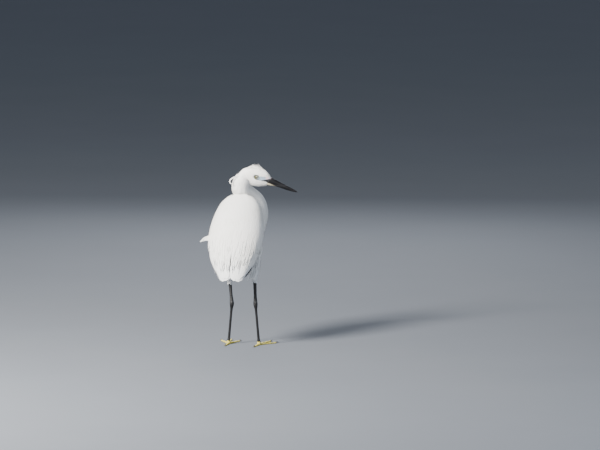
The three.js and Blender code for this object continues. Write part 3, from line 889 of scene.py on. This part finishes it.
def make_back_plumes():
    """Long narrow plumes from the back and shoulders, which part into strands over the wings."""
    count = 520
    start_q = RANDOM.uniform(-1.0, 1.0, count)
    start_p = RANDOM.uniform(4, 124, count) - 14 * np.abs(start_q)
    length = RANDOM.uniform(64, 104, count)
    end = np.minimum(start_p + length, 219 - 20 * np.abs(start_q) - RANDOM.uniform(0, 38, count))
    rows = rows_of(PLUME)
    path_p = lines_between(start_p, end, rows)
    drift = start_q * RANDOM.uniform(-0.12, 0.08, count) + spread_of(count, 0.04)
    path_q = start_q[:, None] + drift[:, None] * rows
    rise = smoothstep(end, 90, 170) * RANDOM.uniform(0.2, 2.6, count) + 0.5
    lift = rise[:, None] * rows**0.8 - 3.2 * (1 - rows) ** 2
    widths = RANDOM.uniform(1.3, 2.9, count)
    return feather_mesh("back_plumes", on_body, (path_p, path_q, lift), widths, PLUME, 0.6, fray=0.08)


def make_flank_plumes():
    """Loose plumes that hang from below the wing's edge over the thigh, on both sides."""
    plumes_a_side, lowest = 110, 176.0
    plumes = []
    for side in (1, -1):
        inward, outward = ((0.4, 0.7), 1.0) if side > 0 else ((0.05, 0.3), 4.0)
        for index in range(plumes_a_side):
            along = np.array([RANDOM.uniform(88, 168)])
            angle = side * RANDOM.uniform(1.6, 2.15, 1)
            root = on_body(along, angle, -2.5)[0]
            length = RANDOM.uniform(30, 60) * (1.15 - 0.3 * abs(along[0] - 120) / 40)
            fall = np.array([-side * RANDOM.uniform(*inward), RANDOM.uniform(0.1, 0.4), -1.0])
            out = np.array([side * RANDOM.uniform(0.0, outward), 0.0, 0.0])
            end = root + fall * length
            end[2] = max(end[2], lowest)
            line = smooth_line([root, mixed(root, end, 0.35) + out, mixed(root, end, 0.7) + out, end], 9)
            width = RANDOM.uniform(0.9, 1.8) * np.sqrt(1 - np.linspace(-0.6, 0.98, 9) ** 2)
            plumes.append(ribbon(f"flank_plume_{side + 1}_{index}", line, width, (side, 0.15, 0.1), 0.4))
    return join("flank_plumes", plumes)


# A turn of one on the tail is this many millimetres across.
TAIL_TURN = 60


def on_tail(along, turn, lift):
    """A flat arch of tail feathers."""
    across = TAIL_TURN * turn
    height = 15.0 - 0.012 * across**2 + lift
    return from_shoulder(along, height, smooth_at(BODY, along, 5) + across)


def make_tail():
    count = 12
    share = np.linspace(-1, 1, count)
    rows = rows_of(BLADE)
    path_p = lines_between(np.full(count, 160.0), 200 - 3.0 * share**2, rows)
    path_q = share[:, None] * mixed(8, 15.5, rows) / TAIL_TURN
    lift = np.repeat((1.6 - 1.9 * np.abs(share))[:, None], len(rows), axis=1)
    return feather_mesh("tail_feathers", on_tail, (path_p, path_q, lift), np.full(count, 5.2), BLADE, 0.7, 3)


def ribbon(name, line, widths, across, thickness):
    """A closed lens-shaped lock along a line of points."""
    half = np.array(across) / np.linalg.norm(across) * thickness / 2
    rings = []
    for i, middle in enumerate(line[:-1]):
        side = np.cross(line[i + 1] - line[max(i - 1, 0)], across)
        side = side / np.linalg.norm(side) * widths[i]
        rings.append([middle - side, middle + half, middle + side, middle - half])
    points = np.concatenate([np.array(rings).reshape(-1, 3), line[:1], line[-1:]])
    count, rows = 4, len(rings)
    piece = mesh_piece(name, place(points), blade_faces(count, rows))
    u = np.concatenate([np.tile([0, 0.5, 1, 0.5], rows), [0.5, 0.5]])
    v = np.concatenate([np.repeat(np.linspace(0, 1, rows), count), [0, 1]])
    middle_patch = np.array([0.5])
    return map_vanes(piece, u, v, middle_patch, middle_patch)


def make_loose_locks():
    """The curled plume at the nape and the covert that stands out at the left."""
    knots = [[8, -48, 434], [22, -41, 433], [32, -36, 425.5], [31, -34.5, 418.5], [23, -35, 414]]
    nape = smooth_line(knots, 22)
    width = 1.7 * np.sqrt(1 - np.linspace(0, 0.98, 22) ** 2)
    locks = [ribbon("nape_plume", nape, width, HEAD_OUT, 0.8)]
    tip = np.array([98.5, 25.0, 268.8])
    bend = np.array([89.0, 17.0, 277.0])
    for index, drop in enumerate(np.linspace(0, 15, 7)):
        root = np.array([66.0 + 0.4 * drop, 2.0 + 0.5 * drop, 288.0 - drop])
        waist = mixed(root, bend, 0.62) + (0, 0, 0.12 * (7 - drop))
        end = tip + (-0.35 * index, -0.1 * index, 0.25 * index)
        line = smooth_line([root, waist, bend + (0, 0, 1.6 - 0.42 * drop), end], 20)
        width = 2.4 * (1 - np.linspace(0, 0.94, 20) ** 1.6)
        locks.append(ribbon(f"loose_covert_{index}", line, width, (-0.2, 0.95, 0.2), 0.7))
    return join("loose_feathers", locks)


# Bill, eyes and bare face
def hump(value, middle, width):
    return np.exp(-((value - middle) / width) ** 2)


def make_bill_half(half_name):
    """Half of the bill, with a groove along each side. In the upper half a nostril lies in it."""
    upper = half_name == "upper"
    share = np.linspace(0, 0.99, 64)[:, None] ** 1.05
    top, mouth, bottom, half = smooth_row(BILL, share)
    ahead = BILL_START - 1.5 + share * (BILL_LENGTH + 1.5)
    edge = mouth + (0.2 if upper else -0.2)
    height = np.maximum(0.15, top - edge if upper else edge - bottom)
    turn = np.linspace(0, math.pi, 25)
    reach = height * np.sin(turn) ** 0.8
    groove_at = 0.95
    groove = 0.5 * (hump(turn, groove_at, 0.22) + hump(math.pi - turn, groove_at, 0.22))
    groove = groove * (1 - smoothstep(share, 0.25, 0.6)) * (1 if upper else 0.4)
    out = (half - 0.9 * groove) * np.cos(turn) * (1 if upper else 0.94)
    if upper:
        nostril = hump(share, 0.09, 0.035) * hump(np.abs(turn - math.pi / 2), 0.62, 0.16)
        out = out - 1.5 * nostril * np.sign(np.cos(turn))
    rings = in_head(ahead, edge + (reach if upper else -reach), out)
    tip = in_head(BILL_START + BILL_LENGTH - 0.3, 12.9 if upper else 12.3, 0.0)
    piece = loft("bill_horn_" + half_name, [*rings, mixed(rings[-1], tip, 0.8)])
    apply_modifier(piece, "BEVEL", width=0.00025, segments=2, limit_method="ANGLE", angle_limit=1.0)
    return shade_smooth(piece)


def make_eye(side_name, side):
    """A ball with a pole in the middle of the iris and a clear bulge over it."""
    bpy.ops.mesh.primitive_uv_sphere_add(segments=48, ring_count=32, radius=EYE_RADIUS * MM)
    eye = bpy.context.active_object
    eye.name = "eye_ball_" + side_name
    middle = Vector(place(in_head(0.0, 0.0, side * EYE_OFFSET)))
    turn = Matrix([HEAD_AHEAD, HEAD_UP, HEAD_OUT]).transposed().to_4x4()
    eye.data.transform(Matrix.Translation(middle) @ turn)
    shade_smooth(eye)
    out = Vector(HEAD_OUT) * side
    for vertex in eye.data.vertices:
        away = (vertex.co - middle).normalized()
        bulge = 0.35 * MM * max(0.0, (away.dot(out) - 0.8) / 0.2)
        vertex.co += away * bulge
    return eye


def make_lids(side_name, side):
    """A rim of wrinkled skin round the eye, drawn to a point before and behind it."""
    turns, tube = around(72), around(12)
    points = []
    for angle in turns:
        corner = abs(math.cos(angle)) ** 6
        long = 5.8 + 1.4 * corner
        tall = 5.5 - 0.3 * max(0.0, math.sin(angle))
        crease = 1 + 0.12 * math.sin(9 * angle)
        thick = 1.35 * crease * (1 - 0.35 * corner)
        ahead = math.cos(angle) * (long + thick * np.cos(tube))
        up = math.sin(angle) * (tall + thick * np.cos(tube))
        depth = EYE_OFFSET + 3.9 - 0.6 * corner + thick * 0.9 * np.sin(tube)
        points.append(in_head(ahead, up, side * depth))
    count, last = len(tube), (len(turns) - 1) * len(tube)
    faces = ring_faces(count, len(turns))
    for i in range(count):
        following = (i + 1) % count
        faces.append((last + i, last + following, following, i))
    piece = mesh_piece("eye_lids_" + side_name, place(np.concatenate(points)), faces)
    face_outward(piece)
    return shade_smooth(piece)


def make_bare_face(side_name, side):
    """A thin patch of bare skin from the root of the bill to the eye."""
    rings = []
    for x in np.linspace(1.5, BILL_START + 1.2, 44):
        low, high = face_edges(x)
        top, bottom, half = smooth_row(HEAD, x)
        up = np.linspace(low - 0.8, high + 0.8, 16)
        height = (up - (top + bottom) / 2) / ((top - bottom) / 2)
        fall = np.sqrt(np.maximum(1 - height**2, 0.03))
        outer = in_head(x, up, side * (half * fall - 0.4))
        inner = in_head(x, up[::-1], side * np.maximum(half * fall[::-1] - 2.6, 0.3))
        rings.append(np.concatenate([outer, inner]))
    piece = loft("bare_face_" + side_name, rings)
    return shade_smooth(piece)


# Legs and feet
def limb(name, stations, sides=28, steps=60):
    """A round limb through points with half thicknesses, smooth between them."""
    rows = np.array([[*middle, radius] for middle, radius in stations], float)
    gaps = np.linalg.norm(np.diff(rows[:, :3], axis=0), axis=1)
    knots = np.column_stack([np.concatenate([[0], np.cumsum(gaps)]), rows])
    *line, radius = smooth_row(knots, np.linspace(0, knots[-1, 0], steps))
    line = np.column_stack(line)
    tangent = np.gradient(line, axis=0)
    across = unit(np.cross(tangent, OFF_LIMBS))
    side = unit(np.cross(across, tangent))
    turn = around(sides)[None]
    piece = loft(name, round_at(line[:, None], radius[:, None], turn, across[:, None], side[:, None]))
    return shade_smooth(piece)


def between_joints(leg, first, second, stations):
    """Points at shares of the way between two joints, with their half thicknesses."""
    start, end = np.array(leg[first], float), np.array(leg[second], float)
    return [(mixed(start, end, share), radius) for share, radius in stations]


def make_leg(side):
    leg = LEGS[side]
    tibia = limb("tibia_skin_" + side, between_joints(leg, "knee", "ankle", [
        (-0.12, 4.9), (0.28, 4.2), (0.66, 4.0), (0.895, ANKLE_RADIUS * 0.9),
    ]))
    heel = between_joints(leg, "knee", "ankle", [(0.9, ANKLE_RADIUS * 0.92)])
    shank = between_joints(leg, "ankle", "foot", [
        (0.0, ANKLE_RADIUS), (0.06, ANKLE_RADIUS * 0.85), (0.14, 3.4), (0.5, 3.1), (0.88, 3.4), (0.955, 4.2),
    ])
    return tibia, limb("tarsus_skin_" + side, heel + shank, steps=90)


def toe_direction(side, angle):
    turned = math.radians(LEGS[side]["turn"]) + (1 if side == "left" else -1) * math.radians(angle)
    return np.array([math.sin(turned), -math.cos(turned), 0.0])


def make_foot(side):
    """Toes with pads at their joints, joined by a palm, resting flat on the ground."""
    ground = np.array(LEGS[side]["foot"], float) * (1, 1, 0)
    parts = [limb("palm_" + side, [
        (ground + (0, 0, 9.6), 3.9),
        (ground + (0, 0, 6), 4.8),
        (ground + (0, -1, 2.6), 5.2),
        (ground + (0, -1, 0.5), 4.4),
    ], 24, 16)]
    pads, sink = 3, 0.75
    for name, (angle, length, radius) in TOES.items():
        direction = toe_direction(side, angle)
        stations = []
        for share in np.arange(13) / 12:
            pad = 0.1 * math.cos(share * pads * 2 * math.pi)
            thick = radius * mixed(1, 0.72, share) * (0.96 + pad)
            centre = ground + direction * length * share
            stations.append((centre + (0, 0, thick - sink), thick))
        parts.append(limb("toe_" + name, stations, 20, 50))
    piece = join("foot_skin_" + side, parts)
    apply_modifier(piece, "REMESH", mode="VOXEL", voxel_size=0.0006)
    apply_modifier(piece, "SMOOTH", factor=0.5, iterations=4)
    for vertex in piece.data.vertices:
        vertex.co.z = max(vertex.co.z, 0.0)
    return shade_smooth(piece)


def make_claw(side, toe):
    """A claw that leaves the toe level and bends down to its tip."""
    angle, length, radius = TOES[toe]
    direction = toe_direction(side, angle)
    start = np.array(LEGS[side]["foot"], float) * (1, 1, 0) + direction * (length + 0.1)
    heights = (2.6, 3.1, 2.9, 2.2, 1.4)
    claw_length = 9.5
    stations = []
    for share, height in zip(np.linspace(0, 1, len(heights)), heights):
        centre = start + direction * claw_length * share + (0, 0, height)
        stations.append((centre, radius * 0.62 * (1 - 0.78 * share)))
    return limb(f"claw_horn_{side}_{toe}", stations, 16, 24)


def make_bird():
    plumage, down = plumage_finish(), down_finish()
    skin = make_skin()
    keep = coat_test(skin)
    dress(skin, down, "plumage", "torso", "mantle", "wing_left", "wing_right", "neck_upper", "neck_middle",
          "neck_lower", "tail", "head", "thigh_left", "thigh_right")
    coat = [*make_body_coat(keep), make_neck_coat(keep), *make_head_coat(keep)]
    coat += [make_thigh_coat(keep, side) for side in LEGS]
    coat += [make_wing_coat(side) for side in LEGS]
    coat += [make_back_plumes(), make_flank_plumes(), make_tail(), make_loose_locks()]
    for piece in coat:
        dress(piece, plumage, "plumage")
    for half in ("upper", "lower"):
        dress(make_bill_half(half), bill_finish(half), "bill", "bill_" + half)
    iris, face = eye_finish(), face_finish()
    lid = grained_finish("eyelid_skin", 0.5, 700, 2, rgb(0.045, 0.05, 0.05), rgb(0.14, 0.155, 0.15), 0.4)
    for side_name, side in (("right", 1), ("left", -1)):
        dress(make_eye(side_name, side), iris, "eye", "eye_" + side_name)
        dress(make_lids(side_name, side), lid, "bill")
        dress(make_bare_face(side_name, side), face, "bill")
    leg_skin = scute_finish("black_leg_scutes", rgb(0.003, 0.003, 0.004), rgb(0.013, 0.012, 0.012),
                            scale=420, rough=0.45)
    foot_skin = scute_finish("yellow_toe_scutes", rgb(0.62, 0.50, 0.08), rgb(0.75, 0.66, 0.17),
                             scale=520, rough=0.48)
    claw = grained_finish("claw_horn", 0.32, 350, 3, rgb(0.012, 0.011, 0.01), rgb(0.07, 0.06, 0.05), 0.2)
    for side in LEGS:
        tibia, tarsus = make_leg(side)
        dress(tibia, leg_skin, "leg", "tibia_" + side)
        dress(tarsus, leg_skin, "leg", "tarsus_" + side)
        dress(make_foot(side), foot_skin, "foot", "foot_" + side)
        for toe in TOES:
            dress(make_claw(side, toe), claw, "claw", f"claw_{side}_{toe}")


# Camera, floor and light, in metres. The camera looks at the bird from behind and a little from
# its right, from far off with a long lens.
CAMERA_TURN, CAMERA_HEIGHT = math.radians(14), math.radians(8)
CAMERA_DISTANCE, CAMERA_LENS = 20, 461.5
# Where the middle of the picture lies from the middle of the bird's frame: right and up.
PICTURE_RIGHT, PICTURE_UP = 0.1594, 0.3110
# Name, place, size, power and colour.
LIGHTS = (
    ("key_light", (1.3, 1.95, 1.8), 0.7, 300, (1.0, 0.975, 0.93)),
    ("cool_side", (-1.8, 1.2, 0.8), 1.6, 16, (0.80, 0.88, 1.0)),
    ("front_fill", (0.4, -2.0, 1.4), 1.6, 30, (0.97, 0.98, 1.0)),
)
LIGHTS_AIM = Vector((0, 0, 0.25))


def make_camera():
    right = np.array([-math.cos(CAMERA_TURN), -math.sin(CAMERA_TURN), 0.0])
    level, fall = math.cos(CAMERA_HEIGHT), math.sin(CAMERA_HEIGHT)
    view = np.array([level * math.sin(CAMERA_TURN), -level * math.cos(CAMERA_TURN), -fall])
    up = np.cross(right, view)
    target = SHIFT * MM + right * PICTURE_RIGHT + up * PICTURE_UP
    data = bpy.data.cameras.new("camera")
    data.lens = CAMERA_LENS
    data.sensor_width = 36
    data.clip_end = 100
    camera = add_object("camera", data)
    facing = Matrix(np.column_stack([right, up, -view]).tolist()).to_4x4()
    camera.matrix_world = Matrix.Translation(Vector(target - view * CAMERA_DISTANCE)) @ facing
    bpy.context.scene.camera = camera


def make_light(name, at, size, power, colour):
    data = bpy.data.lights.new(name, "AREA")
    data.size = size
    data.energy = power
    data.color = colour
    lamp = add_object(name, data)
    lamp.location = at
    lamp.rotation_euler = (LIGHTS_AIM - Vector(at)).to_track_quat("-Z", "Y").to_euler()


def make_stage():
    bpy.ops.mesh.primitive_plane_add(size=60)
    floor = bpy.context.active_object
    floor.name = "floor"
    finish = Finish("pale_floor", Roughness=0.9)
    tone = finish.noise(3, 3)
    finish.set(Base_Color=finish.blend(tone, rgb(0.125, 0.137, 0.158), rgb(0.14, 0.152, 0.172)))
    floor.data.materials.append(finish.material)
    world = bpy.data.worlds.new("soft_sky")
    world.use_nodes = True
    background = world.node_tree.nodes["Background"]
    background.inputs["Color"].default_value = rgb(0.50, 0.58, 0.70)
    background.inputs["Strength"].default_value = 0.45
    bpy.context.scene.world = world
    for light in LIGHTS:
        make_light(*light)


make_camera()
make_stage()
make_bird()
